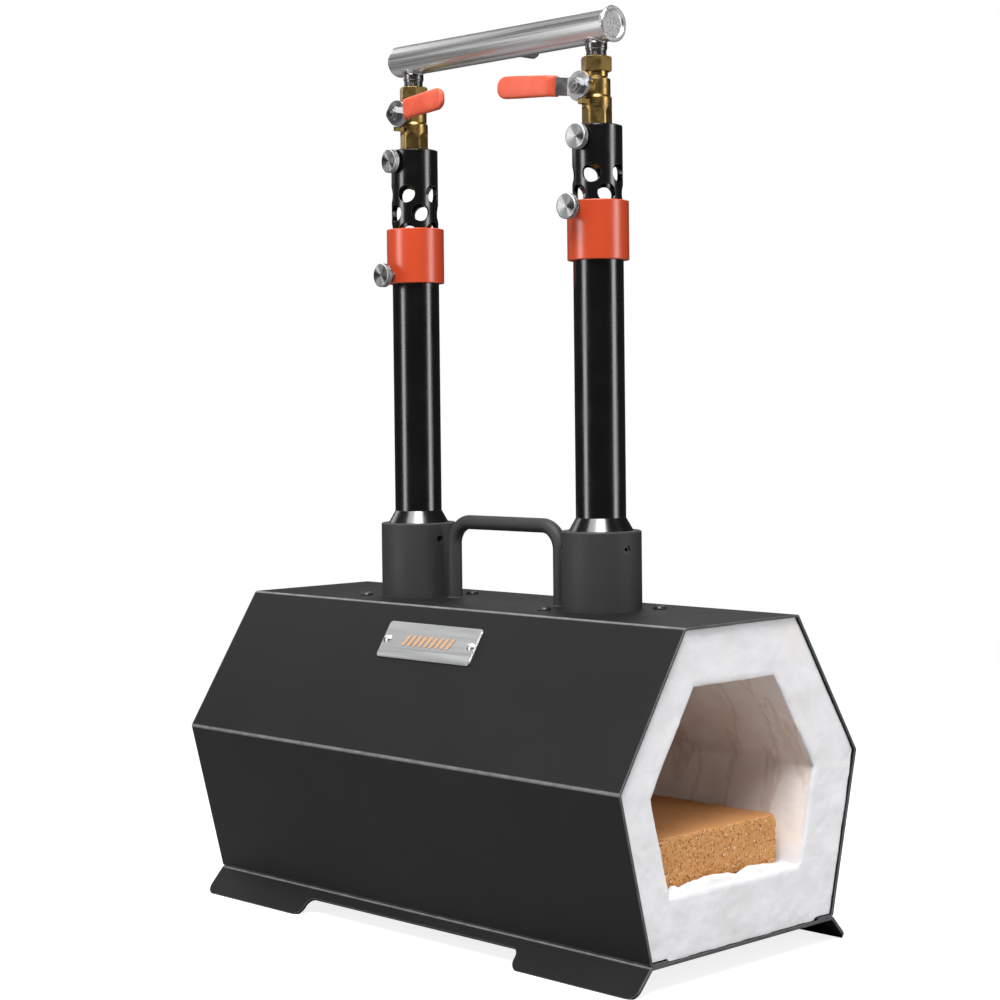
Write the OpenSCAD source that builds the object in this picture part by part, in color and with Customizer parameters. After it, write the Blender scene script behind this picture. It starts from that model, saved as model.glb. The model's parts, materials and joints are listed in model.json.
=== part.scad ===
// Two-burner gas forge: a six-sided sheet-steel body lined with ceramic wool, and a firebrick floor.
// Two burners stand in sockets on the top. Each has a sliding choke ring, a gas jet and a ball valve,
// and both hang from one gas manifold.
// X runs along the body towards the mouth with the brick, -Y is the side with the nameplate, +Z is up.
// The origin is on the ground, at the middle of the body.

/* [Body] */
// Length of the body, from open end to open end
body_length = 421; // [400:1:460]
// Width of the flat top
top_width = 110.4; // [108:0.2:118]
// Width at the widest bend
middle_width = 231; // [225:1:240]
// Width of the flat bottom
bottom_width = 177.3; // [174:0.1:186]
// Height of the body above its base
body_height = 200; // [198:1:208]
// Height of the widest bend above the base
middle_height = 106.5; // [102:0.5:110]
// Thickness of the body sheet
sheet = 1.5; // [1:0.1:2]
// Radius of the outside of the bends
bend_radius = 2.5; // [2.2:0.1:4]
// Width of the lips folded in under the lining
lip_width = 14; // [10:1:20]

/* [Base plate and feet] */
// Height of the body's underside above the ground
ground_clearance = 17; // [15:0.5:20]
// Thickness of the base plate
plate = 2; // [1.5:0.1:3]
// Downward slope of the side flanges, in degrees
foot_slope = 47; // [42:1:55]
// Length of each foot
foot_length = 106.5; // [80:0.5:130]
// Depth of the flange between the feet
rim_depth = 7.5; // [6:0.5:9]
// Radius of the feet's outer corners
foot_corner = 8; // [4:0.5:10]
// Radius of the corners between the feet and the flange
foot_fillet = 6; // [3:0.5:8]

/* [Lining] */
// Width of the chamber's roof
chamber_top_width = 78; // [72:1:82]
// Width of the chamber at its widest
chamber_middle_width = 159; // [150:1:165]
// Width of the chamber's floor
chamber_bottom_width = 126; // [122:1:130]
// Sideways offset of the chamber, because the wool is thicker on one side
chamber_offset = -6; // [-7:0.5:0]
// Thickness of the wool under the brick
floor_thickness = 39; // [34:1:42]
// Height of the chamber's widest line above the base
chamber_middle_height = 100; // [95:1:105]
// Height of the chamber's roof above the base
chamber_height = 163; // [155:1:165]

/* [Firebrick] */
// Length of the firebrick
brick_length = 229; // [220:1:240]
// Width of the firebrick
brick_width = 114; // [100:1:115]
// Thickness of the firebrick
brick_thickness = 32; // [25:1:40]
// Distance of the brick's end from the mouth
brick_setback = 15; // [5:1:40]
// Sideways offset of the brick
brick_offset = -7; // [-8:0.5:-4]

/* [Burner sockets] */
// Distance between the two burners
burner_spacing = 180; // [176:1:200]
// Outer diameter of a socket
socket_d = 53.5; // [52:0.5:54]
// Wall of a socket
socket_wall = 5; // [4:0.25:5.25]
// Height of a socket above the body's top
socket_height = 52.5; // [48:0.5:56]
// Side of the square flange under the top sheet
flange_side = 72; // [70:1:74]
// Thickness of that flange
flange_thickness = 3; // [2:0.5:4]
// Distance from the socket's axis to each flange screw, along X and along Y
flange_screw_offset = 27; // [26:0.5:28]
// Height of the three set screws above the body's top
set_screw_height = 41; // [35:1:44]

/* [Burner tubes] */
// Outer diameter of a burner tube
tube_d = 33.4; // [33:0.1:34]
// Wall of a burner tube
tube_wall = 3.4; // [3:0.1:3.6]
// Height of the tube's top above the ground
tube_top = 536.3; // [527:0.1:545]
// Height where the flare's shoulder meets the tube
shoulder_top = 278; // [274:0.5:282]
// Outer diameter of the flare
flare_d = 43; // [42:0.1:43]
// Diameter of an air hole
air_hole_d = 12.5; // [9:0.5:13]
// Air holes in a row
holes_per_row = 5; // [4:1:6]
// Rows of air holes
hole_rows = 3; // [1:1:3]
// Height of the top row's centres
top_row_height = 504.4; // [500:0.1:506]
// Distance between the rows
row_pitch = 13.3; // [13:0.1:15]

/* [Choke rings] */
// Outer diameter of a choke ring
ring_d = 41; // [39:0.5:43]
// Gap between the ring and the tube, measured on the radius
ring_gap = 0.3; // [0.3:0.05:0.6]
// Height of a choke ring
ring_height = 39; // [36:0.5:43]
// Height of the left ring's lower edge
left_ring_bottom = 440.8; // [400:0.1:445]
// Height of the right ring's lower edge
right_ring_bottom = 447.7; // [400:0.1:448]

/* [Thumb screws] */
// Diameter of a thumb screw's head
thumb_head_d = 16.8; // [14:0.2:18]
// Thickness of a thumb screw's head
thumb_head_h = 4.7; // [4:0.1:6]
// Diameter of a thumb screw's thread
thumb_thread_d = 5; // [4:0.5:6]
// Height of the screws that hold the gas jets' holders
jet_screw_height = 527.8; // [524:0.1:529]

/* [Gas valves] */
// Height of the valve's stem axis
stem_height = 561; // [560:0.5:565]
// Width across the flats of the valve's hexagons
valve_hex = 18; // [17:0.5:19]
// Diameter of the valve's round body
valve_body_d = 18.3; // [18:0.1:19]
// Diameter of the ball
ball_d = 10.5; // [10.5:0.1:10.6]
// Bore of the valve
valve_bore = 5; // [4:0.5:6]

/* [Levers] */
// Length of a lever from the stem's axis to its tip
lever_length = 62; // [60:1:70]
// Thickness of the lever plate
lever_plate = 2; // [1.5:0.25:2]
// Width of the lever at its tip
lever_tip_width = 12.6; // [12.2:0.1:14]
// Rise of a closed lever from level, in degrees
closed_tilt = 4; // [0:0.5:6]

/* [Manifold] */
// Outer diameter of the manifold
manifold_d = 22; // [21:0.5:23]
// Wall of the manifold
manifold_wall = 2; // [1.5:0.25:2.5]
// Length of the manifold, with its end pieces
manifold_length = 213; // [205:1:225]
// Height of the manifold's axis
manifold_height = 601.5; // [600:0.5:604]
// Distance of the gas inlet's end from the manifold's axis
inlet_reach = 33; // [30:1:60]

/* [Carrying handle] */
// Diameter of the handle's rod
handle_rod_d = 10; // [8:0.5:11]
// Distance between the handle's legs
handle_span = 104; // [96:1:108]
// Height of the rod's centre above the body's top
handle_height = 54; // [48:1:60]
// Radius of the handle's bends, on the rod's centre
handle_bend = 16; // [12:1:20]

/* [Nameplate] */
// Length of the nameplate
nameplate_length = 92; // [80:1:110]
// Width of the nameplate
nameplate_width = 27; // [22:1:30]
// Thickness of the nameplate
nameplate_thickness = 1.2; // [1:0.1:2]
// Distance between the two rivets
rivet_spacing = 82.4; // [70:0.1:84]

/* [Hidden] */
$fn = 64;

LEFT = -1;
RIGHT = 1;
EPS = 0.1;          // how far a cutting solid passes the face it cuts
FIT = 0.05;         // radial gap of a running or screwed fit
SOFT_GAP = 0.3;     // gap round the soft lining
BIG = 1000;

base_z = ground_clearance;
top_z = base_z + body_height;
middle_z = base_z + middle_height;
front_slope = atan2(body_height - middle_height, (middle_width - top_width) / 2);

// The body's section across its length, as [y, z], anticlockwise
body_section = [
    [-bottom_width / 2, base_z], [bottom_width / 2, base_z],
    [middle_width / 2, middle_z], [top_width / 2, top_z],
    [-top_width / 2, top_z], [-middle_width / 2, middle_z]
];
floor_z = base_z + floor_thickness;
chamber_section = [
    [-chamber_bottom_width / 2, floor_z], [chamber_bottom_width / 2, floor_z],
    [chamber_middle_width / 2, base_z + chamber_middle_height],
    [chamber_top_width / 2, base_z + chamber_height],
    [-chamber_top_width / 2, base_z + chamber_height],
    [-chamber_middle_width / 2, base_z + chamber_middle_height]
];
lining_length = body_length - 4;

base_screw_r = 2;
base_screw_x = [-150, 0, 150];
base_screw_y = bottom_width / 2 - sheet - lip_width / 2;
base_screw_top = base_z + sheet + 1;

flange_top = top_z - sheet;
flange_bottom = flange_top - flange_thickness;
socket_top = top_z + socket_height;
socket_bore_r = socket_d / 2 - socket_wall;
flange_screw_r = 2.5;
flange_screw_tip = top_z - 9;
set_screw_z = top_z + set_screw_height;
set_screw_r = 2.5;
set_screw_turn = -8;        // turn of the first set screw from +X
flare_bottom = base_z + chamber_height + 10;
port_r = flare_d / 2 + 1.5; // hole through the wool for a flare

tube_r = tube_d / 2;
tube_bore_r = tube_r - tube_wall;
spigot_r = tube_r - 1.7;    // the tube's turned-down end, inside the flare
spigot_length = 15;
spigot_bottom = shoulder_top - spigot_length;
air_hole_turn = [-64, -60.9];        // direction of one top-row hole, left and right burner
jet_screw_turn = [-97, -86];        // directions of the thumb screws, left and right burner
choke_screw_turn = [-94, -88];
choke_screw_height = [446.2, 481.8];
ring_bottom = [left_ring_bottom, right_ring_bottom];
ring_bore_r = tube_r + ring_gap;
thumb_r = thumb_thread_d / 2;
jet_head_face = 23.2;       // from the tube's axis to the head's outer face
choke_head_face = 32;

holder_r = tube_bore_r - 0.1;
holder_bottom = 514;
holder_top = tube_top - 1;
jet_thread_r = 4;
valve_thread_r = 6.6;       // the valve's thread in the jet holder, and the nipple's
hexagon_top = stem_height - 12.3;
hexagon_turn = [8, 15];     // direction of one flat of the lower hexagon, left and right valve
ball_body_bottom = stem_height - 5;
ball_body_top = stem_height + 6.8;
neck_top = stem_height + 10.8;
cap_top = neck_top + 9.7;
cavity_r = ball_d / 2 + 0.65;
seat_height = 2.4;
cap_spigot_bottom = stem_height + ball_d / 2 + 0.25;
seat_floor = stem_height - ball_d / 2 - 0.25;

// Distances from the burner's axis along the stem
boss_face = 14;
packing_depth = 3;
shoulder_face = 15.2;
lever_face = shoulder_face + lever_plate;
nut_hex_face = lever_face + 4.4;
nut_face = nut_hex_face + 1.4;
stem_face = nut_face + 0.8;
stem_r = 3;
stem_flat = 4.4;            // distance between the stem's two flats
stem_thread_r = 2.5;
boss_r = 5.5;
packing_r = 4;
lever_hub_r = 10;
lug_turn = -95;             // direction of the stop lug, from the lever's own line
bend_start = 11;
bend_end = 20;
bend_depth = 9;             // how far the blade steps out from the hub
tip_depth = 12.8;           // how far the tip stands out from the hub
sleeve_start = 15.7;
sleeve_skin = 1.2;

manifold_r = manifold_d / 2;
manifold_bore_r = manifold_r - manifold_wall;
plug_length = 3;
cap_flange_length = 2.6;
cap_groove = 0.8;
tube_start = -manifold_length / 2 + plug_length;
tube_end = manifold_length / 2 - cap_flange_length - cap_groove;
nipple_r = 6.85;
nipple_boss_r = 7.3;
nipple_bore_r = 4.6;
nipple_bottom = neck_top + 2.4;

nameplate_x = -3;
nameplate_along = 83.8;     // up the slope from the widest bend to the plate's middle

// ---- 2D helpers ---------------------------------------------------------------------------------

function unit(v) = v / norm(v);
function arm(from, to) = unit(to - from);
function half_angle(a, b, c) = acos(arm(b, a) * arm(b, c)) / 2;

// Points along an arc
function arc(centre, r, from, to, steps = 8) = [
    for (i = [0 : steps])
        let (a = from + (to - from) * i / steps)
            centre + r * [cos(a), sin(a)]
];

// A convex outline moved inwards by d
function inset(points, d) = [
    for (i = [0 : len(points) - 1])
        let (n = len(points), a = points[(i + n - 1) % n], b = points[i], c = points[(i + 1) % n])
            b + unit(arm(b, a) + arm(b, c)) * d / sin(half_angle(a, b, c))
];

// A convex outline with every corner rounded to radius r
module rounded_outline(points, r) {
    n = len(points);
    polygon([
        for (i = [0 : n - 1])
            let (a = points[(i + n - 1) % n], b = points[i], c = points[(i + 1) % n],
                 reach = r / tan(half_angle(a, b, c)))
                each [b + arm(b, a) * reach, b + arm(b, c) * reach]
    ]);
    for (centre = inset(points, r)) translate(centre) circle(r);
}

module rounded_rectangle(length, width, r) {
    rounded_outline([
        [-length / 2, -width / 2], [length / 2, -width / 2],
        [length / 2, width / 2], [-length / 2, width / 2]
    ], r);
}

// ---- 3D helpers ---------------------------------------------------------------------------------

// Extrudes a [y, z] section along the body
module along_x(length) {
    translate([-length / 2, 0, 0]) rotate([90, 0, 90]) linear_extrude(length) children();
}

module at_burner(side) {
    translate([side * burner_spacing / 2, 0, 0]) children();
}

// Picks the left or right value of a pair
function of_side(pair, side) = side == LEFT ? pair[0] : pair[1];

// Turns +Z to point outwards at a direction round the burner's axis, at height z
module outwards(turn, z) {
    translate([0, 0, z]) rotate([0, 90, turn]) children();
}

// Puts +Z along the valve's stem, which points to -Y
module along_stem() {
    translate([0, 0, stem_height]) rotate([90, 0, 0]) children();
}

module ring(outer_r, inner_r, height) {
    difference() {
        cylinder(r = outer_r, h = height);
        translate([0, 0, -EPS]) cylinder(r = inner_r, h = height + 2 * EPS);
    }
}

// A hexagonal prism whose corners are turned off at both ends
module hex_body(flats, height, chamfer = 0.8) {
    corner_r = flats / 2 / cos(30);
    intersection() {
        cylinder(r = corner_r, h = height, $fn = 6);
        rotate_extrude() polygon([
            [0, 0], [corner_r - chamfer, 0], [corner_r, chamfer * 0.6],
            [corner_r, height - chamfer * 0.6], [corner_r - chamfer, height], [0, height]
        ]);
    }
}

// Puts +Z out of the sloping front panel, with +Y up the slope from the widest bend
module on_front_panel(x, along) {
    translate([0, -middle_width / 2, middle_z])
        rotate([front_slope, 0, 0])
            translate([x, along, 0]) children();
}

// ---- Body ---------------------------------------------------------------------------------------

module body_outline(depth) {
    rounded_outline(inset(body_section, depth), max(bend_radius - depth, 0.5));
}

module shell() {
    lip_gap = bottom_width - 2 * (sheet + lip_width);
    color("#17181a") difference() {
        along_x(body_length) difference() {
            body_outline(0);
            body_outline(sheet);
            translate([-lip_gap / 2, base_z - 1]) square([lip_gap, sheet + 2]);
        }
        for (side = [LEFT, RIGHT]) at_burner(side) {
            translate([0, 0, flange_top - 1]) cylinder(r = socket_d / 2 + FIT, h = sheet + 2);
            for (s = [-1, 1])
                translate([s * flange_screw_offset, s * flange_screw_offset, flange_top - 1])
                    cylinder(r = flange_screw_r + FIT, h = sheet + 2);
        }
        for (s = [-1, 1])
            translate([s * handle_span / 2, 0, flange_top - 1])
                cylinder(d = handle_rod_d + 2 * FIT, h = sheet + 2);
        for (s = [-1, 1])
            on_front_panel(nameplate_x + s * rivet_spacing / 2, nameplate_along)
                translate([0, 0, -sheet - 1]) cylinder(r = 1.6 + FIT, h = sheet + 2);
        base_screw_places() translate([0, 0, base_z - 1]) cylinder(r = base_screw_r + FIT, h = sheet + 2);
    }
}

module base_screw_places() {
    for (x = base_screw_x, s = [-1, 1]) translate([x, s * base_screw_y, 0]) children();
}

// What is cut out of a side flange, laid flat, as [x, distance down the slope]: the gap between the feet
module foot_gap_outline(depth) {
    half_gap = body_length / 2 - foot_length;
    side = concat(
        arc([half_gap - foot_fillet, rim_depth + foot_fillet], foot_fillet, -90, 0),
        arc([half_gap + foot_corner, depth - foot_corner], foot_corner, 180, 90),
        [[half_gap + foot_corner, 2 * depth]]
    );
    polygon(concat(side, [for (i = [len(side) - 1 : -1 : 0]) [-side[i][0], side[i][1]]]));
}

// The sliver cut off a foot's outer corner, laid flat
module foot_corner_outline(depth) {
    half = body_length / 2;
    polygon(concat(
        [[half + 1, depth - foot_corner]],
        arc([half - foot_corner, depth - foot_corner], foot_corner, 0, 90),
        [[half - foot_corner, 2 * depth], [half + 1, 2 * depth]]
    ));
}

module base_plate() {
    under_z = base_z - plate;
    bend_y = bottom_width / 2 - plate * tan(foot_slope / 2);
    down = [cos(foot_slope), -sin(foot_slope)];
    outer_depth = (under_z + plate * cos(foot_slope)) / sin(foot_slope);
    inner_depth = under_z / sin(foot_slope);
    bend = [bend_y, under_z];
    side = concat(
        arc(bend, plate, 90, 90 - foot_slope),
        [bend + plate * [sin(foot_slope), cos(foot_slope)] + outer_depth * down,
         bend + inner_depth * down, bend]
    );
    color("#141517") difference() {
        along_x(body_length)
            polygon(concat(side, [for (i = [len(side) - 1 : -1 : 0]) [-side[i][0], side[i][1]]]));
        for (m = [0, 1]) mirror([0, m, 0])
            translate([0, bend_y, under_z]) rotate([-foot_slope, 0, 0]) translate([0, 0, -1]) {
                linear_extrude(plate + 2) foot_gap_outline(outer_depth);
                for (e = [0, 1]) mirror([e, 0, 0])
                    linear_extrude(plate + 2) foot_corner_outline(outer_depth);
            }
        base_screw_places() translate([0, 0, under_z - 1])
            cylinder(r = base_screw_r + FIT, h = plate + 2);
    }
}

module base_screws() {
    head_h = 2.2;
    color("#2b2c2e") base_screw_places() translate([0, 0, base_z - plate]) rotate_extrude() polygon([
        [0, -head_h], [2.6, -head_h], [3.8, -head_h * 0.4], [3.8, 0], [base_screw_r, 0],
        [base_screw_r, base_screw_top - base_z + plate], [0, base_screw_top - base_z + plate]
    ]);
}

// ---- Lining -------------------------------------------------------------------------------------

module chamber_outline() {
    translate([chamber_offset, 0]) rounded_outline(chamber_section, 6);
}

module blanket_wrap() {
    color("#f1efec") difference() {
        along_x(lining_length) difference() {
            body_outline(sheet + SOFT_GAP);
            chamber_outline();
            translate([-BIG / 2, floor_z - BIG]) square(BIG);
        }
        for (side = [LEFT, RIGHT]) at_burner(side) {
            translate([0, 0, floor_z + 60]) cylinder(r = port_r, h = body_height);
            translate([-flange_side / 2 - 1, -flange_side / 2 - 1, flange_bottom - 0.6])
                cube([flange_side + 2, flange_side + 2, 20]);
            for (s = [-1, 1])
                translate([s * flange_screw_offset, s * flange_screw_offset, flange_screw_tip - 1.5])
                    cylinder(r = 4, h = 20);
        }
        // Room for the rivets' closed ends
        for (s = [-1, 1])
            on_front_panel(nameplate_x + s * rivet_spacing / 2, nameplate_along)
                translate([0, 0, -sheet - 3]) cylinder(r = 3.4, h = 4);
    }
}

module blanket_floor() {
    lip_edge = bottom_width / 2 - sheet - lip_width - SOFT_GAP;
    color("#f1efec") difference() {
        along_x(lining_length) {
            difference() {
                body_outline(sheet + SOFT_GAP);
                translate([-BIG / 2, floor_z - 0.2]) square(BIG);
            }
            translate([-lip_edge, base_z + 0.2]) square([2 * lip_edge, sheet + 1]);
        }
        base_screw_places() translate([0, 0, base_z]) cylinder(r = 3.5, h = base_screw_top - base_z + 0.6);
    }
}

module firebrick() {
    edge = 1.5;
    chip_r = 9;
    mouth_end = body_length / 2 - brick_setback;
    color("#c98b52") difference() {
        translate([mouth_end - brick_length, brick_offset, floor_z + brick_thickness / 2])
            rotate([0, 90, 0]) linear_extrude(brick_length)
                rounded_rectangle(brick_thickness, brick_width, edge);
        translate([mouth_end + 5, brick_offset + brick_width / 2 + 2, floor_z + brick_thickness + 3])
            sphere(chip_r);
    }
}

// ---- Nameplate and handle -----------------------------------------------------------------------

module nameplate() {
    rim = 0.8;
    color("#c3c5c8") on_front_panel(nameplate_x, nameplate_along) difference() {
        union() {
            linear_extrude(nameplate_thickness * 0.6)
                rounded_rectangle(nameplate_length, nameplate_width, 2.6);
            linear_extrude(nameplate_thickness)
                rounded_rectangle(nameplate_length - 2 * rim, nameplate_width - 2 * rim, 2.2);
        }
        for (s = [-1, 1])
            translate([s * rivet_spacing / 2, 0, -1]) cylinder(r = 1.6 + FIT, h = nameplate_thickness + 2);
    }
}

module nameplate_rivets() {
    head_r = 3.6;
    dome_r = 4.4;
    color("#d6d7d9") for (s = [-1, 1])
        on_front_panel(nameplate_x + s * rivet_spacing / 2, nameplate_along) {
            translate([0, 0, -sheet - 1]) cylinder(r = 1.6, h = sheet + 1 + nameplate_thickness);
            intersection() {
                translate([0, 0, nameplate_thickness - sqrt(dome_r * dome_r - head_r * head_r)])
                    sphere(dome_r);
                translate([0, 0, nameplate_thickness]) cylinder(r = head_r, h = 5);
            }
            translate([0, 0, -sheet - 2]) cylinder(r = 2.6, h = 2 - SOFT_GAP);
        }
}

module carry_handle() {
    rod_r = handle_rod_d / 2;
    rail_z = top_z + handle_height;
    color("#1b1c1e") {
        for (m = [0, 1]) mirror([m, 0, 0]) {
            translate([handle_span / 2, 0, flange_top])
                cylinder(r = rod_r, h = rail_z - handle_bend - flange_top);
            translate([handle_span / 2 - handle_bend, 0, rail_z - handle_bend]) rotate([90, 0, 0])
                rotate_extrude(angle = 90) translate([handle_bend, 0]) circle(rod_r);
        }
        translate([-handle_span / 2 + handle_bend, 0, rail_z]) rotate([0, 90, 0])
            cylinder(r = rod_r, h = handle_span - 2 * handle_bend);
    }
}

// ---- Burner sockets -----------------------------------------------------------------------------

// Puts children at the three set screws of a socket, with +Z pointing outwards
module set_screw_places() {
    for (i = [0 : 2]) outwards(set_screw_turn + 120 * i, set_screw_z) children();
}

module socket(side) {
    outer_r = socket_d / 2;
    color("#151617") at_burner(side) difference() {
        translate([0, 0, flange_bottom]) rotate_extrude() polygon([
            [socket_bore_r, 0], [outer_r, 0], [outer_r, socket_top - flange_bottom - 0.8],
            [outer_r - 0.8, socket_top - flange_bottom], [socket_bore_r, socket_top - flange_bottom]
        ]);
        set_screw_places() cylinder(r = set_screw_r + FIT, h = socket_d);
    }
}

module socket_flange(side) {
    color("#1c1d1f") at_burner(side) translate([0, 0, flange_bottom]) difference() {
        linear_extrude(flange_thickness) rounded_rectangle(flange_side, flange_side, 5);
        translate([0, 0, -1]) cylinder(r = socket_d / 2 + FIT, h = flange_thickness + 2);
        for (s = [-1, 1])
            translate([s * flange_screw_offset, s * flange_screw_offset, -1])
                cylinder(r = flange_screw_r + FIT, h = flange_thickness + 2);
    }
}

module socket_screws() {
    head_r = 4.5;
    head_h = 2.6;
    color("#232426") for (side = [LEFT, RIGHT], s = [-1, 1])
        at_burner(side) translate([s * flange_screw_offset, s * flange_screw_offset, top_z]) difference() {
            rotate_extrude() polygon([
                [0, flange_screw_tip - top_z], [flange_screw_r - 0.5, flange_screw_tip - top_z],
                [flange_screw_r, flange_screw_tip - top_z + 0.5], [flange_screw_r, 0], [head_r, 0],
                [head_r, 0.8], [head_r * 0.85, head_h * 0.75], [head_r * 0.55, head_h], [0, head_h]
            ]);
            translate([0, 0, head_h - 1.4]) cylinder(d = 3 / cos(30), h = 2, $fn = 6);
        }
}

module socket_set_screws() {
    screw_length = socket_wall - 0.8;
    color("#26272a") for (side = [LEFT, RIGHT]) at_burner(side) set_screw_places()
        translate([0, 0, flare_d / 2 + FIT]) difference() {
            cylinder(r = set_screw_r, h = screw_length);
            translate([0, 0, screw_length - 1.8]) cylinder(d = 2.5 / cos(30), h = 3, $fn = 6);
        }
}

// ---- Burners ------------------------------------------------------------------------------------

module burner_flare(side) {
    outer_r = flare_d / 2;
    mouth_r = outer_r - 2;
    color("#1b1c1e") at_burner(side) rotate_extrude() polygon([
        [mouth_r, flare_bottom], [outer_r, flare_bottom], [outer_r, socket_top],
        [tube_r, shoulder_top], [spigot_r + FIT, shoulder_top], [spigot_r + FIT, spigot_bottom],
        [tube_bore_r, spigot_bottom], [tube_bore_r, spigot_bottom - 4]
    ]);
}

module burner_tube(side) {
    chamfer = 0.6;
    color("#131415") at_burner(side) difference() {
        rotate_extrude() polygon([
            [tube_bore_r, spigot_bottom], [spigot_r, spigot_bottom], [spigot_r, shoulder_top],
            [tube_r, shoulder_top], [tube_r, tube_top - chamfer], [tube_r - chamfer, tube_top],
            [tube_bore_r, tube_top]
        ]);
        for (row = [0 : hole_rows - 1], i = [0 : holes_per_row - 1])
            outwards(of_side(air_hole_turn, side) + (i + row / 2) * 360 / holes_per_row,
                     top_row_height - row * row_pitch)
                translate([0, 0, tube_bore_r - 2]) cylinder(d = air_hole_d, h = tube_wall + 4);
        outwards(of_side(jet_screw_turn, side), jet_screw_height)
            cylinder(r = thumb_r + FIT, h = tube_d);
    }
}

module choke_ring(side) {
    outer_r = ring_d / 2;
    chamfer = 0.5;
    bottom = of_side(ring_bottom, side);
    color("#d8552f") at_burner(side) difference() {
        translate([0, 0, bottom]) rotate_extrude() polygon([
            [ring_bore_r, 0], [outer_r - chamfer, 0], [outer_r, chamfer],
            [outer_r, ring_height - chamfer], [outer_r - chamfer, ring_height],
            [ring_bore_r, ring_height]
        ]);
        outwards(of_side(choke_screw_turn, side), of_side(choke_screw_height, side))
            cylinder(r = thumb_r + FIT, h = ring_d);
    }
}

// A thumb screw along +Z from its tip to its head's outer face, with a dished face and two grooves
module thumb_screw(tip, face) {
    r = thumb_head_d / 2;
    back = face - thumb_head_h;
    groove = 0.35;
    color("#c9cbcd") rotate_extrude() polygon([
        [0, tip], [thumb_r - 0.6, tip], [thumb_r, tip + 0.6], [thumb_r, back - 1], [thumb_r + 1, back],
        [r - 0.5, back], [r, back + 0.5],
        [r, back + 1.3], [r - groove, back + 1.5], [r - groove, back + 1.8], [r, back + 2],
        [r, back + 2.8], [r - groove, back + 3], [r - groove, back + 3.3], [r, back + 3.5],
        [r, face - 0.5], [r - 0.5, face], [r - 1.2, face], [0, face - 0.7]
    ]);
}

module choke_screw(side) {
    at_burner(side) outwards(of_side(choke_screw_turn, side), of_side(choke_screw_height, side))
        thumb_screw(tube_r + 0.3, choke_head_face);
}

module jet_screw(side) {
    at_burner(side) outwards(of_side(jet_screw_turn, side), jet_screw_height)
        thumb_screw(holder_r + 0.3, jet_head_face);
}

// ---- Gas jets -----------------------------------------------------------------------------------

module jet_holder(side) {
    thread_depth = 10;
    color("#2a2b2d") at_burner(side) rotate_extrude() polygon([
        [jet_thread_r + FIT, holder_bottom], [holder_r - 1, holder_bottom], [holder_r, holder_bottom + 1],
        [holder_r, holder_top - 0.8], [holder_r - 0.8, holder_top], [valve_thread_r + FIT, holder_top],
        [valve_thread_r + FIT, holder_top - thread_depth], [valve_bore / 2, holder_top - thread_depth],
        [valve_bore / 2, holder_bottom + 8], [jet_thread_r + FIT, holder_bottom + 8]
    ]);
}

module gas_jet(side) {
    orifice_r = 0.5;
    hex_h = 3.6;
    nose_h = 2;
    color("#b58a3e") at_burner(side) difference() {
        union() {
            translate([0, 0, holder_bottom - hex_h]) hex_body(10, hex_h, 0.5);
            translate([0, 0, holder_bottom - hex_h - nose_h]) cylinder(r1 = 2.2, r2 = 3.6, h = nose_h);
            translate([0, 0, holder_bottom - EPS]) cylinder(r = jet_thread_r, h = 7.5 + EPS);
        }
        translate([0, 0, holder_bottom - 10]) cylinder(r = orifice_r, h = 20);
        translate([0, 0, holder_bottom - hex_h + 1]) cylinder(r = 2, h = 20);
    }
}

// ---- Gas valves ---------------------------------------------------------------------------------

// What is milled off the valve's round foot for one flat of its hexagon, towards +X
module arched_flat(half_width) {
    arch_z = hexagon_top - half_width;
    translate([valve_hex / 2, 0, 0]) rotate([90, 0, 90]) linear_extrude(3) {
        translate([0, arch_z]) circle(half_width);
        translate([-half_width, holder_top - 1]) square([2 * half_width, arch_z - holder_top + 1]);
    }
}

module valve_body(side) {
    body_r = valve_body_d / 2;
    swell_r = body_r + 0.8;
    neck_r = 7.5;
    lug_start = 8.4;
    color("#b08a44") at_burner(side) difference() {
        union() {
            translate([0, 0, holder_top - 9]) cylinder(r = valve_thread_r, h = 9 + EPS);
            rotate_extrude() polygon([
                [0, holder_top], [swell_r - 0.5, holder_top], [swell_r, holder_top + 0.5],
                [swell_r, ball_body_bottom - 1.6], [body_r, ball_body_bottom],
                [body_r, ball_body_top - 1.2], [neck_r, ball_body_top + 0.4], [neck_r, neck_top],
                [0, neck_top]
            ]);
            along_stem() cylinder(r = boss_r, h = boss_face);
            // The stop lug stands in the notch of the lever's hub
            along_stem() rotate([0, 0, side == LEFT ? lug_turn : 180 - lug_turn])
                translate([lug_start, -1.8, 3]) cube([3.2, 3.6, lever_face - 3]);
        }
        for (i = [0 : 5]) rotate([0, 0, of_side(hexagon_turn, side) + 60 * i])
            arched_flat(sqrt(swell_r * swell_r - valve_hex * valve_hex / 4) + 0.15);
        translate([0, 0, holder_top - 10]) cylinder(d = valve_bore, h = 40);
        translate([0, 0, seat_floor]) cylinder(r = cavity_r, h = 30);
        along_stem() {
            cylinder(r = stem_r + FIT, h = boss_face + 1);
            translate([0, 0, boss_face - packing_depth]) cylinder(r = packing_r, h = packing_depth + 1);
        }
    }
}

module valve_cap(side) {
    spigot_r = cavity_r - FIT;
    color("#b8914a") at_burner(side) difference() {
        union() {
            translate([0, 0, neck_top]) rotate([0, 0, 30]) hex_body(valve_hex, cap_top - neck_top, 1);
            translate([0, 0, cap_spigot_bottom])
                cylinder(r = spigot_r, h = neck_top - cap_spigot_bottom + EPS);
        }
        translate([0, 0, cap_spigot_bottom - 1]) cylinder(d = valve_bore, h = 30);
        translate([0, 0, nipple_bottom - 0.2]) cylinder(r = nipple_r + FIT, h = 30);
    }
}

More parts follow.
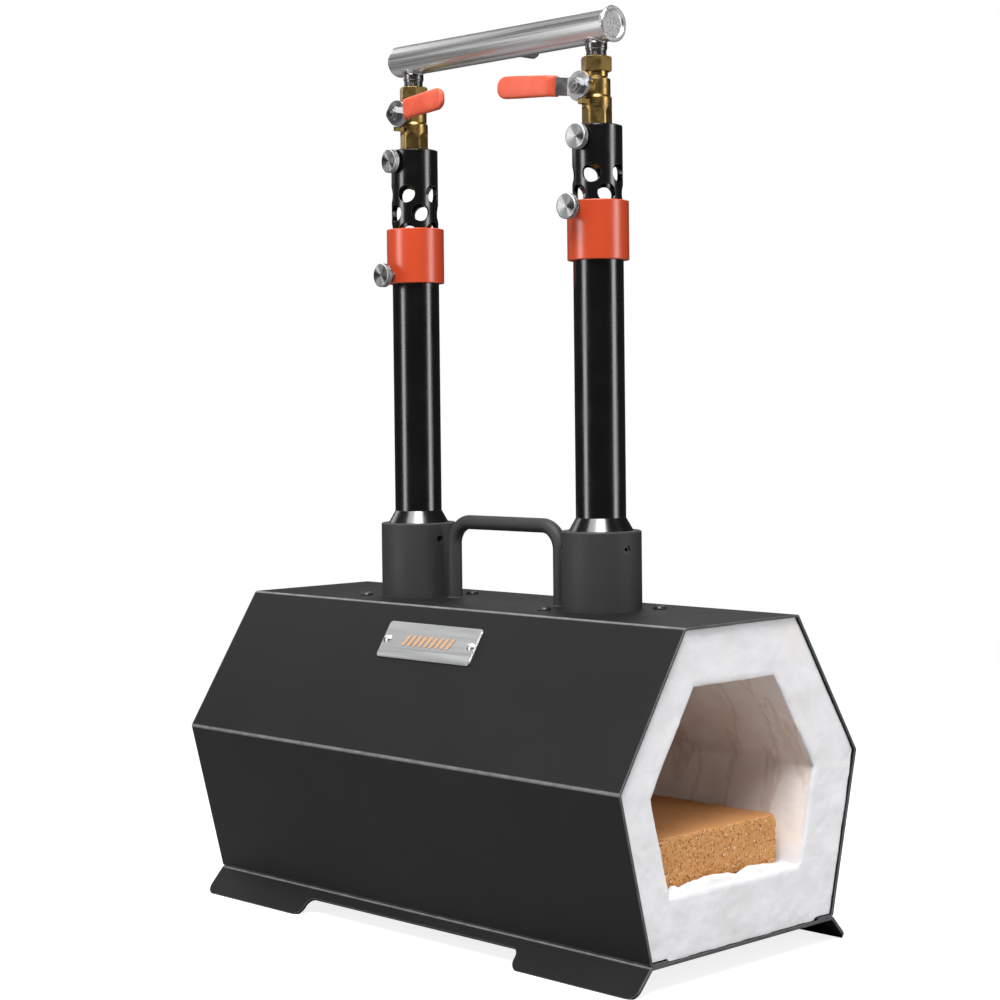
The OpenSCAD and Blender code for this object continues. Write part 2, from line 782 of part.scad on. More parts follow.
// Closed at rest: the ball's bore lies across the flow, in line with the lever
module valve_ball(side) {
    color("#d9dadb") at_lever(side) difference() {
        sphere(d = ball_d);
        rotate([0, 90, 0]) cylinder(d = valve_bore, h = 2 * ball_d, center = true);
        translate([-2.5 - FIT, -1 - FIT, 3.6]) cube([5 + 2 * FIT, 2 + 2 * FIT, ball_d]);
    }
}

module ball_seats(side) {
    color("#ececea") at_burner(side) difference() {
        for (z = [seat_floor, cap_spigot_bottom - seat_height])
            translate([0, 0, z]) ring(cavity_r - FIT, valve_bore / 2, seat_height);
        translate([0, 0, stem_height]) sphere(r = ball_d / 2 + FIT);
    }
}

module valve_stem(side) {
    color("#c9a45a") at_lever(side) {
        translate([-2.5, -1, 3.7]) cube([5, 2, 2]);
        translate([0, 0, ball_d / 2 + 0.35]) cylinder(r = stem_r, h = boss_face - ball_d / 2);
        translate([0, 0, boss_face + 0.2]) cylinder(r = 3.8, h = shoulder_face - boss_face - 0.2);
        intersection() {
            cylinder(r = stem_r, h = lever_face);
            translate([-stem_r, -stem_flat / 2, shoulder_face - EPS])
                cube([2 * stem_r, stem_flat, lever_plate + EPS]);
        }
        translate([0, 0, shoulder_face]) cylinder(r = stem_thread_r - 0.3, h = stem_face - shoulder_face);
    }
}

module stem_packing(side) {
    color("#e4e3df") at_burner(side) along_stem() translate([0, 0, boss_face - packing_depth])
        ring(packing_r - FIT / 2, stem_r + FIT, packing_depth);
}

// ---- Levers -------------------------------------------------------------------------------------

// What turns with a lever is drawn for the left valve, whose lever points to +X; the right one is its
// mirror image
module at_lever(side) {
    at_burner(side) mirror([side == LEFT ? 0 : 1, 0, 0]) along_stem() rotate([0, 0, closed_tilt])
        children();
}

// Side profile of the lever as [distance from the stem, distance out along the stem]
module lever_profile(skin) {
    hub = shoulder_face;
    near = [[-lever_hub_r - 1, hub], [bend_start, hub], [bend_end, hub + bend_depth],
            [lever_length + 3, hub + tip_depth + 0.3]];
    far = [for (i = [3 : -1 : 0])
        let (shift = i == 0 || i == 3 ? 0 : -0.8) near[i] + [shift, lever_plate]];
    polygon(concat([for (p = near) p - [0, skin]], [for (p = far) p + [0, skin]]));
}

// Plan of the lever: a round hub, a neck and a blade that widens to a round tip
module lever_plan() {
    tip_r = lever_tip_width / 2;
    difference() {
        union() {
            circle(lever_hub_r);
            polygon([
                [0, -5.8], [bend_end, -6.1], [lever_length - tip_r, -tip_r],
                [lever_length - tip_r, tip_r], [bend_end, 6.1], [0, 5.8]
            ]);
            translate([lever_length - tip_r, 0]) circle(tip_r);
        }
        hub_notch();
    }
}

// The notch lets the hub turn a quarter past the stop lug
module hub_notch() {
    depth_r = 8;
    swing = arc([0, 0], 20, lug_turn - 102.4, lug_turn + 12.4 - closed_tilt, 20);
    difference() {
        polygon(concat([[0, 0]], swing));
        circle(depth_r);
    }
}

module lever(side) {
    color("#dcdddd") at_lever(side) difference() {
        intersection() {
            linear_extrude(BIG) lever_plan();
            translate([0, lever_hub_r, 0]) rotate([90, 0, 0])
                linear_extrude(2 * lever_hub_r) lever_profile(0);
        }
        intersection() {
            cylinder(r = stem_r + FIT, h = BIG);
            translate([-BIG / 2, -stem_flat / 2 - FIT, 0]) cube([BIG, stem_flat + 2 * FIT, BIG]);
        }
    }
}

module lever_nut(side) {
    color("#b9bbbd") at_lever(side) difference() {
        union() {
            translate([0, 0, lever_face]) hex_body(10, nut_hex_face - lever_face, 0.7);
            translate([0, 0, nut_hex_face - EPS]) cylinder(r = 4, h = nut_face - nut_hex_face + EPS);
        }
        cylinder(r = stem_thread_r - 0.3 + FIT, h = BIG);
    }
}

module lever_sleeve(side) {
    grip_r = lever_tip_width / 2 + sleeve_skin;
    tip_x = lever_length - lever_tip_width / 2;
    color("#e0633c") at_lever(side) difference() {
        intersection() {
            linear_extrude(BIG) {
                translate([tip_x, 0]) circle(grip_r);
                polygon([
                    [sleeve_start, -grip_r + 0.6], [tip_x, -grip_r],
                    [tip_x, grip_r], [sleeve_start, grip_r - 0.6]
                ]);
            }
            translate([0, 2 * lever_hub_r, 0]) rotate([90, 0, 0])
                linear_extrude(4 * lever_hub_r) lever_profile(sleeve_skin);
        }
        intersection() {
            linear_extrude(BIG) lever_plan();
            translate([0, lever_hub_r, 0]) rotate([90, 0, 0])
                linear_extrude(2 * lever_hub_r) lever_profile(0);
        }
    }
}

// ---- Manifold -----------------------------------------------------------------------------------

module at_manifold() {
    translate([0, 0, manifold_height]) children();
}

module manifold_bar(r, from, to) {
    at_manifold() translate([from, 0, 0]) rotate([0, 90, 0]) cylinder(r = r, h = to - from);
}

module manifold_tube() {
    color("#b9bbbe") difference() {
        manifold_bar(manifold_r, tube_start, tube_end);
        manifold_bar(manifold_bore_r, -BIG, BIG);
        for (side = [LEFT, RIGHT]) at_burner(side)
            translate([0, 0, manifold_height - manifold_d]) cylinder(r = nipple_r, h = manifold_d);
        at_manifold() rotate([-90, 0, 0]) cylinder(r = nipple_r, h = manifold_d);
    }
}

// The far end is closed by a rounded plug
module manifold_plug() {
    spigot = 6;
    round_r = 2.2;
    color("#aeb0b3") at_manifold() translate([tube_start, 0, 0]) rotate([0, -90, 0]) {
        translate([0, 0, -spigot]) cylinder(r = manifold_bore_r, h = spigot + EPS);
        cylinder(r = manifold_r, h = plug_length - round_r);
        rotate_extrude() {
            translate([manifold_r - round_r, plug_length - round_r]) intersection() {
                circle(round_r);
                square(round_r);
            }
            translate([0, plug_length - round_r - EPS]) square([manifold_r - round_r, round_r + EPS]);
        }
    }
}

// The near end has a turned cap: a groove, a wider rim, a dished face and a small hexagon
module manifold_cap() {
    rim_r = manifold_r + 1;
    spigot = 10;
    face = cap_groove + cap_flange_length;
    color("#c4c6c9") at_manifold() translate([tube_end, 0, 0]) rotate([0, 90, 0]) {
        rotate_extrude() polygon([
            [0, -spigot], [manifold_bore_r, -spigot], [manifold_bore_r, 0], [manifold_r - 0.6, 0],
            [manifold_r - 0.6, cap_groove], [rim_r - 0.4, cap_groove], [rim_r, cap_groove + 0.4],
            [rim_r, face - 0.8], [rim_r - 0.8, face], [rim_r - 2.6, face],
            [rim_r - 3.6, face - 1.4], [0, face - 1.4]
        ]);
        translate([0, 0, face - 1.4 - EPS]) hex_body(5, 1.2 + EPS, 0.3);
    }
}

module manifold_nipple(side) {
    thread_r = nipple_r - 0.5;
    boss_bottom = manifold_height - manifold_r - 4.2;
    top = manifold_height - manifold_bore_r + 3;
    color("#a7a9ac") difference() {
        at_burner(side) rotate_extrude() polygon(concat(
            [[nipple_bore_r, nipple_bottom], [nipple_r, nipple_bottom], [nipple_r, cap_top]],
            // Three bare turns of thread above the valve's nut
            [for (i = [0 : 2], p = [[nipple_r, 0.1], [thread_r, 0.5], [thread_r, 0.8], [nipple_r, 1.2]])
                [p[0], cap_top + 1.3 * i + p[1]]],
            [[nipple_r, boss_bottom], [nipple_boss_r, boss_bottom + 0.6],
             [nipple_boss_r, manifold_height - manifold_r - 0.2],
             [nipple_r, manifold_height - manifold_r + 1], [nipple_r, top], [nipple_bore_r, top]]
        ));
        manifold_bar(manifold_bore_r, -BIG, BIG);
        // The boss is cut to sit on the manifold's round underside
        difference() {
            manifold_bar(manifold_r, -BIG, BIG);
            at_burner(side) cylinder(r = nipple_r, h = BIG);
        }
    }
}

// The gas inlet points to the rear: a quarter-inch pipe nipple welded into the manifold
module inlet_nipple() {
    collar_end = manifold_r + 6;
    thread_start = collar_end + 1.2;
    end_chamfer = 0.8;
    color("#a7a9ac") at_manifold() rotate([-90, 0, 0]) difference() {
        rotate_extrude() polygon([
            [nipple_bore_r, manifold_bore_r - 3], [nipple_r, manifold_bore_r - 3],
            [nipple_r, manifold_r - 1], [nipple_boss_r, manifold_r - 1], [nipple_boss_r, collar_end - 0.5],
            [nipple_boss_r - 0.5, collar_end], [nipple_r - 0.8, collar_end],
            [nipple_r - 0.8, thread_start - 0.4], [nipple_r, thread_start],
            [nipple_r, inlet_reach - end_chamfer], [nipple_r - end_chamfer, inlet_reach],
            [nipple_bore_r, inlet_reach]
        ]);
        rotate([0, 90, 0]) cylinder(r = manifold_bore_r, h = BIG, center = true);
        difference() {
            rotate([0, 90, 0]) cylinder(r = manifold_r, h = BIG, center = true);
            cylinder(r = nipple_r, h = BIG);
        }
    }
}

// ---- Drawing ------------------------------------------------------------------------------------

shell();
base_plate();
base_screws();
blanket_wrap();
blanket_floor();
firebrick();
nameplate();
nameplate_rivets();
carry_handle();
socket(LEFT);  // socket_left
socket(RIGHT);  // socket_right
socket_flange(LEFT);  // socket_flange_left
socket_flange(RIGHT);  // socket_flange_right
socket_screws();
socket_set_screws();
burner_flare(LEFT);  // burner_flare_left
burner_flare(RIGHT);  // burner_flare_right
burner_tube(LEFT);  // burner_tube_left
burner_tube(RIGHT);  // burner_tube_right
choke_ring(LEFT);  // choke_ring_left
choke_ring(RIGHT);  // choke_ring_right
choke_screw(LEFT);  // choke_screw_left
choke_screw(RIGHT);  // choke_screw_right
jet_screw(LEFT);  // jet_screw_left
jet_screw(RIGHT);  // jet_screw_right
jet_holder(LEFT);  // jet_holder_left
jet_holder(RIGHT);  // jet_holder_right
gas_jet(LEFT);  // gas_jet_left
gas_jet(RIGHT);  // gas_jet_right
valve_body(LEFT);  // valve_body_left
valve_body(RIGHT);  // valve_body_right
valve_cap(LEFT);  // valve_cap_left
valve_cap(RIGHT);  // valve_cap_right
valve_ball(LEFT);  // valve_ball_left
valve_ball(RIGHT);  // valve_ball_right
ball_seats(LEFT);  // ball_seats_left
ball_seats(RIGHT);  // ball_seats_right
valve_stem(LEFT);  // valve_stem_left
valve_stem(RIGHT);  // valve_stem_right
stem_packing(LEFT);  // stem_packing_left
stem_packing(RIGHT);  // stem_packing_right
lever(LEFT);  // lever_left
lever(RIGHT);  // lever_right
lever_nut(LEFT);  // lever_nut_left
lever_nut(RIGHT);  // lever_nut_right
lever_sleeve(LEFT);  // lever_sleeve_left
lever_sleeve(RIGHT);  // lever_sleeve_right
manifold_tube();
manifold_plug();
manifold_cap();
manifold_nipple(LEFT);  // manifold_nipple_left
manifold_nipple(RIGHT);  // manifold_nipple_right
inlet_nipple();
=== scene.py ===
"""A two-burner gas forge: wool, brick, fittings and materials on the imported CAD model, in a small studio."""
import json
import math

import bmesh
import bpy
from mathutils import Matrix, Vector, noise


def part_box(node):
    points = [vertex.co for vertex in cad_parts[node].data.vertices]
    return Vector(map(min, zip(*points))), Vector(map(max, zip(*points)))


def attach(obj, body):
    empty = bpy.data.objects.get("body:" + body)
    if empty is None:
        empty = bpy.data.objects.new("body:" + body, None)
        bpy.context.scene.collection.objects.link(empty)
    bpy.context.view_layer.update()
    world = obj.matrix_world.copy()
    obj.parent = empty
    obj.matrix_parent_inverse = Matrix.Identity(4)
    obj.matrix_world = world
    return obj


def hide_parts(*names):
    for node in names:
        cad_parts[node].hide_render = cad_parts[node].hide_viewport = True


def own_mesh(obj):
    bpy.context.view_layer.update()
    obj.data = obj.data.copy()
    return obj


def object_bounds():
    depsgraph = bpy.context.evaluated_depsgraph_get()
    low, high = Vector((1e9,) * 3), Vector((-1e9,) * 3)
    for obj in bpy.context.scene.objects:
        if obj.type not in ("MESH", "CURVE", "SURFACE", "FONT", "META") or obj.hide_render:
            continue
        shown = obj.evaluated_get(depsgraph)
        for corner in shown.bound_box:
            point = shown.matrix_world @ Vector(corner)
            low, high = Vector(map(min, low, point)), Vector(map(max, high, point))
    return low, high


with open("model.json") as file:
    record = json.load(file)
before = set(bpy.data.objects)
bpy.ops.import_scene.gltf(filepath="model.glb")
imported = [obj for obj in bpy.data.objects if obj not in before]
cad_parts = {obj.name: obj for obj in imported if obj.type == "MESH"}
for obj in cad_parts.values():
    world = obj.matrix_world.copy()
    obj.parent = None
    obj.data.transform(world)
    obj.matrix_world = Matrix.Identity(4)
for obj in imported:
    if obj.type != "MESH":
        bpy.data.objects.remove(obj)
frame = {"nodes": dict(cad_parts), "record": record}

cad_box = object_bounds()

MM = 0.001
NODES = frame["nodes"]
JOINTS = {joint["name"]: joint for joint in frame["record"]["behaviour"]["joints"]}
SIDES = {"left": -1, "right": 1}

MOUTH = 208.5 * MM          # where the wool's cut faces lie, along X
BURNER_X = 90               # the burners' axes, in mm, with the levers' stems on them
PORT_R = 23 * MM            # the wool's two holes for the flares
SEAT = 56                   # top of the wool floor under the brick, in mm
SEAT_Z = SEAT * MM
SIDE_SLOPE = 0.2463         # how much wider the lower walls get with each mm of height


# ---- Helpers for meshes -------------------------------------------------------------------------------

def add_object(name, points, faces, slot, body="root", smooth=True):
    mesh = bpy.data.meshes.new(name)
    mesh.from_pydata([tuple(p) for p in points], [], faces)
    mesh.update()
    bm = bmesh.new()
    bm.from_mesh(mesh)
    bmesh.ops.recalc_face_normals(bm, faces=bm.faces)
    bm.to_mesh(mesh)
    bm.free()
    if smooth:
        mesh.shade_smooth()
        mesh.set_sharp_from_angle(angle=math.radians(50))
    made = bpy.data.objects.new(name, mesh)
    bpy.context.scene.collection.objects.link(made)
    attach(made, body)
    return made


def block(counts, place):
    """The skin of a block of quads. place(u, v, w) puts each corner, with u, v and w from 0 to 1."""
    index, points, faces = {}, [], []

    def corner(key):
        if key not in index:
            index[key] = len(points)
            points.append(place(*(k / n for k, n in zip(key, counts))))
        return index[key]

    for a in range(3):
        b, c = (a + 1) % 3, (a + 2) % 3
        for end in (0, counts[a]):
            for i in range(counts[b]):
                for j in range(counts[c]):
                    quad = []
                    for di, dj in ((0, 0), (1, 0), (1, 1), (0, 1)):
                        key = [0, 0, 0]
                        key[a], key[b], key[c] = end, i + di, j + dj
                        quad.append(corner(tuple(key)))
                    faces.append(quad)
    return points, faces


def loft(rings):
    """A closed skin through rings of equal length, each given as a list of points."""
    size = len(rings[0])
    points = [p for ring in rings for p in ring]
    faces = []
    for r in range(len(rings) - 1):
        for i in range(size):
            j = (i + 1) % size
            faces.append((r * size + i, r * size + j, (r + 1) * size + j, (r + 1) * size + i))
    faces.append(list(range(size)))
    faces.append(list(range(len(points) - size, len(points))))
    return points, faces


def roughen(made, amount):
    """Moves every vertex along its normal by amount(position, normal), in metres."""
    mesh = made.data
    normals = [n.vector.copy() for n in mesh.vertex_normals]
    for vertex, normal in zip(mesh.vertices, normals):
        vertex.co += normal * amount(vertex.co, normal)
    mesh.update()


def waves(p, size, seed=0.0, stretch=(1, 1, 1)):
    """Smooth noise from -1 to 1 with lumps of the given size."""
    q = Vector((p[0] * stretch[0], p[1] * stretch[1], p[2] * stretch[2])) / size
    return noise.noise(q + Vector((seed, seed * 1.7, -seed)))


def rounded_edge(depth, gap, edge):
    """Moves a point near an outer edge onto a quarter round. Both distances are from the edge's two faces."""
    turn = math.radians(45 + 45 * (gap - depth) / edge)
    return edge * (1 - math.sin(turn)), edge * (1 - math.cos(turn))


def cut_away(made, cutters):
    """Cuts the other objects out of this one's mesh for good, and removes them."""
    for cutter in cutters:
        modifier = made.modifiers.new("cut", "BOOLEAN")
        modifier.object = cutter
        modifier.solver = "EXACT"
    bpy.context.view_layer.update()
    seen = made.evaluated_get(bpy.context.evaluated_depsgraph_get())
    mesh = bpy.data.meshes.new_from_object(seen)
    made.modifiers.clear()
    old, made.data = made.data, mesh
    bpy.data.meshes.remove(old)
    for cutter in cutters:
        bpy.data.objects.remove(cutter)


def rod(radius, low, high, x):
    """A plain upright cylinder, used only to cut with."""
    bm = bmesh.new()
    bmesh.ops.create_cone(bm, cap_ends=True, segments=64, radius1=radius, radius2=radius, depth=high - low)
    mesh = bpy.data.meshes.new("rod")
    bm.to_mesh(mesh)
    bm.free()
    made = bpy.data.objects.new("rod", mesh)
    made.location = (x, 0, (low + high) / 2)
    bpy.context.scene.collection.objects.link(made)
    return made


# ---- Lining -------------------------------------------------------------------------------------------

# The body's section as (y, z) in mm, from the front's foot over the top to the rear's foot
BEND, ROOF = 123.4, 215.1
OUTSIDE = [(-96.7, SEAT), (-113.3, BEND), (-54.2, ROOF), (54.2, ROOF), (113.3, BEND), (96.7, SEAT)]
CHAMBER = [(-69, SEAT), (-85.5, 117), (-45, 180), (33, 180), (73.5, 117), (57, SEAT)]
OUTER_PATH, INNER_PATH = ([Vector((y * MM, z * MM)) for y, z in path] for path in (OUTSIDE, CHAMBER))


def end_spacing(u, half):
    """Spreads u over -half..half, with finer steps near the two ends."""
    t = 2 * u - 1
    return half * math.copysign(1 - (1 - abs(t)) ** 1.35, t)


def matched_points(share):
    """Points of the outer and inner outlines that face each other, piece by piece."""
    pieces = len(OUTER_PATH) - 1
    piece = min(int(share * pieces), pieces - 1)
    t = share * pieces - piece
    return OUTER_PATH[piece].lerp(OUTER_PATH[piece + 1], t), INNER_PATH[piece].lerp(INNER_PATH[piece + 1], t)


def wool_lumps(p, normal):
    """Height of the wool's surface: a soft, uneven wall and a nearly flat cut face."""
    flat_end = min(1, max(0, (abs(normal.x) - 0.4) / 0.4))
    under = abs(normal.z + 1) < 0.2 and p.z < 60 * MM
    if under:
        return 0
    wall = (1.5 * waves(p, 34 * MM, 2, (0.8, 1, 0.6)) + 0.9 * waves(p, 13 * MM, 5, (1, 1, 0.55))
            + 0.45 * waves(p, 5.5 * MM, 9)) * MM
    wall *= 0.2 + 0.8 * min(1, max(0, (MOUTH - abs(p.x)) / (30 * MM)))
    face = (0.5 * waves(p, 16 * MM, 3) + 0.3 * waves(p, 5 * MM, 7) + 0.15 * waves(p, 2.6 * MM, 8)) * MM
    return wall * (1 - flat_end) + face * flat_end


def wool_wrap():
    """The wool round the chamber. Its back stands clear of the flanges and screws, except at the mouths."""
    edge, clear, mouth_seal, blend = 1.8 * MM, 10.5 * MM, 190 * MM, 8 * MM

    def place(u, v, w):
        outer, inner = matched_points(u)
        thickness = (outer - inner).length
        x = end_spacing(w, MOUTH)
        if v == 0:
            hidden = min(1, max(0, (mouth_seal - abs(x)) / blend))
            return Vector((x, *outer.lerp(inner, hidden * clear / thickness)))
        depth, gap = MOUTH - abs(x), (1 - v) * thickness
        if depth < edge and gap < edge and (depth == 0 or gap == 0):
            depth, gap = rounded_edge(depth, gap, edge)
        spot = inner.lerp(outer, gap / thickness)
        return Vector((math.copysign(MOUTH - depth, x if x else 1), *spot))

    made = add_object("wool_wrap", *block((150, 16, 190), place), "ceramic_wool")
    roughen(made, lambda p, n: 0 if near_shell(p, n) else wool_lumps(p, n))
    low, high = 150 * MM, 230 * MM
    cut_away(made, [rod(PORT_R, low, high, side * BURNER_X * MM) for side in SIDES.values()])
    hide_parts("blanket_wrap")
    return made


def near_shell(p, n):
    """True on the wool's back, which lies against the steel."""
    foot, widest, top = (y for y, _ in OUTSIDE[:2:-1])
    slope = (widest - top) / (ROOF - BEND)
    upper = abs(p.y) - (widest * MM - (p.z - BEND * MM) * slope)
    lower = abs(p.y) - (foot * MM + (p.z - SEAT_Z) * SIDE_SLOPE)
    return max(upper, lower, p.z - ROOF * MM) > -13 * MM and abs(n.x) < 0.5


def wool_floor():
    """The wool under the brick. Beside the chamber it meets the wrap, which hides the seam."""
    edge = 2.6 * MM
    foot, foot_z = 86.9, 17            # half the wool's width at its foot, in mm
    over_plate, over_lips = 17.2 * MM, 19.0 * MM
    lip_y = 72.3 * MM                  # where the shell's folded lips begin
    chamber_front, chamber_rear = CHAMBER[0][0] * MM, CHAMBER[-1][0] * MM
    half_low, half_high = 89 * MM, 96.5 * MM

    def place(u, v, w):
        x = end_spacing(u, MOUTH)
        side = 2 * v - 1
        low = over_plate if abs(side) * half_low < lip_y else over_lips
        depth, gap = MOUTH - abs(x), (1 - w) * (SEAT_Z - low)
        beside = not chamber_front < side * half_high < chamber_rear
        if w > 0 and not beside and depth < edge and gap < edge and (depth == 0 or gap == 0):
            depth, gap = rounded_edge(depth, gap, edge)
        z = SEAT_Z + (0.4 if beside else -0.2) * MM - gap if w > 0 else low
        half = (foot + SIDE_SLOPE * (z / MM - foot_z)) * MM
        return Vector((math.copysign(MOUTH - depth, x if x else 1), side * half, z))

    def lumps(p, n):
        if abs(n.x) > 0.5:
            return wool_lumps(p, n)
        if n.z > 0.5:
            return -0.3 * MM + 0.25 * waves(p, 12 * MM, 4) * MM
        return 0

    made = add_object("wool_floor", *block((190, 84, 18), place), "ceramic_wool")
    roughen(made, lumps)
    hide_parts("blanket_floor")
    return made


# Heights of the torn wool in front of the brick, as (y, z) in mm
LIP_TOPS = [(-69, 56.5), (-60, 61), (-54, 57.8), (-42, 59.6), (-22, 61), (-8, 59.6), (1, 57.6), (13, 60.6),
            (28, 59.8), (40, 58.2), (50, 57), (57, 55.6)]


def lip_top(y):
    """The torn wool's height at y, smoothly from one listed height to the next."""
    for (y0, z0), (y1, z1) in zip(LIP_TOPS, LIP_TOPS[1:]):
        if y <= y1:
            t = max(0, (y - y0) / (y1 - y0))
            t = t * t * (3 - 2 * t)
            return z0 + (z1 - z0) * t
    return LIP_TOPS[-1][1]


def wool_lip():
    """The torn edge of wool that stands up in front of the brick."""
    low, back, front = 52, 196.3, 208.2
    start, width = -68.5, 125

    def place(u, v, w):
        y = start + width * u
        t = 2 * v - 1
        crown = math.sqrt(max(0, 1 - abs(t) ** 2.6))
        top = low + 1 + (lip_top(y) - low - 1) * (0.35 + 0.65 * crown)
        end = min(1, 8 * min(u, 1 - u) + 0.25)
        x = back + (front - back) * v - 1.6 * w * w * t
        return Vector((x, y, low + (top - low) * w * end)) * MM

    made = add_object("wool_lip", *block((150, 18, 12), place), "ceramic_wool")
    roughen(made, lambda p, n: (0.55 * waves(p, 4.5 * MM, 1) + 0.3 * waves(p, 1.9 * MM, 6)) * MM
            if p.z > 54 * MM else 0)
    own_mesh(made)
    return made


def brick():
    """The firebrick with worn edges, pitted ends and a chip off the corner by the rear of the near mouth."""
    low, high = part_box("firebrick")
    middle, half = (low + high) / 2, (high - low) / 2
    chip, chip_r = Vector((200.5, 52, 91)) * MM, 9 * MM
    rounding = 1.3 * MM

    def place(u, v, w):
        q = Vector((end_spacing(u, half.x), (2 * v - 1) * half.y, (2 * w - 1) * half.z))
        inner = Vector([math.copysign(min(abs(q[i]), half[i] - rounding), q[i]) for i in range(3)])
        out = q - inner
        if out.length > 1e-9:
            q = inner + out.normalized() * rounding
        return middle + q

    def worn(p, n):
        gaps = sorted(half[i] - abs(p[i] - middle[i]) for i in range(3))
        edge = max(0, 1 - gaps[1] / (3.2 * MM))
        broken = max(0, waves(p, 5 * MM, 3) + 0.1) * 1.5 + max(0, waves(p, 1.8 * MM, 4)) * 0.7
        pit = max(0, waves(p, 1.7 * MM, 12) - 0.36) * 3.4
        ends = 1 if abs(n.x) > 0.6 else 0.25
        grain = 0.12 * waves(p, 2.4 * MM, 7) - 0.12
        return (-edge * broken - pit * ends + grain) * MM

    made = add_object("brick", *block((170, 150, 44), place), "firebrick", "brick")
    roughen(made, worn)
    for vertex in made.data.vertices:
        away = vertex.co - chip
        if away.length < chip_r:
            rough = 1 + 0.06 * waves(vertex.co, 2.2 * MM, 15)
            vertex.co = chip + away.normalized() * chip_r * rough
    made.data.update()
    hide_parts("firebrick")
    return made


# ---- Small fittings -----------------------------------------------------------------------------------

LEVER_Z = 561               # height of the levers' stems, in mm
LEVER_TILT = math.radians(4)


def lever_face(x, shift, base):
    """How far out one face of a lever's plate lies, x mm along the lever, with its bends softened."""
    crank_start, crank_rise, arm_start, arm_slope = 11, 9, 20, 4.1 / 45
    total = 0
    for step in range(-3, 4):
        at = x + shift + 0.35 * step
        total += base + min(max(at - crank_start, 0), crank_rise) + max(0, at - arm_start) * arm_slope
    return total / 7


def lever_grip(name):
    """Dipped vinyl on one lever: drawn along the left lever, mirrored for the right one."""
    side = SIDES[name]
    skin, plate, hub = 1.2, 2.0, 15.2
    start, tip, grip_r = 15.7, 62 + skin, 7.5
    tip_start = tip - grip_r

    straight = [start + (tip_start - start) * i / 44 for i in range(45)]
    turned = [tip_start + grip_r * math.sin(math.radians(a)) for a in range(4, 90, 3)] + [tip - 0.02]
    rings = []
    for x in straight + turned:
        past = max(0, x - tip_start) / grip_r
        plan = 6.9 + 0.6 * min(1, (x - start) / 30)
        half = plan * math.sqrt(max(0.0004, 1 - past * past))
        inner, outer = lever_face(x, 0, hub), lever_face(x, 0.8, hub + plate)
        steep = 1.25 if x < 19 else 1.0
        thick = (outer - inner) / 2 + skin * steep * min(1, 0.6 + (x - start) / 3)
        thick *= max(0.02, 1 - past ** 6) ** 0.5
        ring = []
        for i in range(56):
            a = math.tau * i / 56
            y = half * math.copysign(abs(math.cos(a)) ** 0.45, math.cos(a))
            z = thick * math.copysign(abs(math.sin(a)) ** 0.55, math.sin(a))
            z += 0.10 * waves((x, y, z), 9, 3)
            along = x * math.cos(LEVER_TILT) - y * math.sin(LEVER_TILT)
            up = x * math.sin(LEVER_TILT) + y * math.cos(LEVER_TILT)
            out = (inner + outer) / 2 + z
            ring.append(Vector((side * BURNER_X - side * along, -out, LEVER_Z + up)) * MM)
        rings.append(ring)
    made = add_object("lever_grip_" + name, *loft(rings), "vinyl_orange", name + "_valve_lever")
    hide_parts("lever_sleeve_" + name)
    return made


def plate_motif():
    """A plain row of slanted enamel bars on the nameplate, in place of any mark."""
    low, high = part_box("nameplate")
    panel_rise, panel_run = 93.5, 60.3
    slope = math.atan2(panel_rise, panel_run)
    pitch, width, half_height, lean = 5.4, 2.9, 4.1, 3.6
    sunk, thick = 0.1, 0.4
    along = Vector((1, 0, 0))
    up = Vector((0, math.cos(slope), math.sin(slope)))
    out = Vector((0, -math.sin(slope), math.cos(slope)))
    middle = (low + high) / 2
    proud = max(out.dot(vertex.co - middle) for vertex in NODES["nameplate"].data.vertices)
    face = middle + out * proud
    points, faces = [], []
    for i in range(-4, 5):

        def place(u, v, w):
            round_end = 1 - 0.35 * abs(2 * v - 1) ** 5
            x = pitch * i + (u - 0.5) * width * round_end + (v - 0.5) * lean
            return face + (along * x + up * (2 * v - 1) * half_height + out * (thick * w - sunk)) * MM

        skin, quads = block((3, 8, 1), place)
        faces += [[k + len(points) for k in quad] for quad in quads]
        points += skin
    return add_object("plate_motif", points, faces, "brass", smooth=False)


def bead(name, centre, radius, size, body="root", saddle=None, slot="black_paint"):
    """A rippled ring of weld round an upright joint. It follows a lying tube whose radius is saddle."""
    steps, sides, ripples = 132, 10, 26
    points = []
    for i in range(steps):
        a = math.tau * i / steps
        uneven = waves((math.cos(a) * 3, math.sin(a) * 3, centre[0] * 99), 1)
        ripple = 1 + 0.16 * math.sin(a * ripples) + 0.2 * uneven
        for j in range(sides):
            b = math.tau * j / sides
            r = radius + size * ripple * math.cos(b)
            x, y = r * math.cos(a), r * math.sin(a)
            drop = saddle - math.sqrt(saddle * saddle - y * y) if saddle else 0
            points.append(Vector(centre) + Vector((x, y, size * 0.8 * ripple * math.sin(b) + drop)))
    faces = []
    for i in range(steps):
        for j in range(sides):
            a, b, k = i * sides, (i + 1) % steps * sides, (j + 1) % sides
            faces.append((a + j, b + j, b + k, a + k))
    return add_object(name, points, faces, slot, body), slot


def weld_beads():
    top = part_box("shell")[1].z
    handle_x, handle_r = 52 * MM, 5.1 * MM
    manifold_low, manifold_r, nipple_r = 590.5 * MM, 11 * MM, 7.4 * MM
    for name, side in SIDES.items():
        yield bead("handle_weld_" + name, (side * handle_x, 0, top), handle_r, 1.0 * MM)
        yield bead("nipple_weld_" + name, (side * BURNER_X * MM, 0, manifold_low), nipple_r, 0.55 * MM,
                   "gas_train", manifold_r, "stainless")


# ---- Materials ----------------------------------------------------------------------------------------

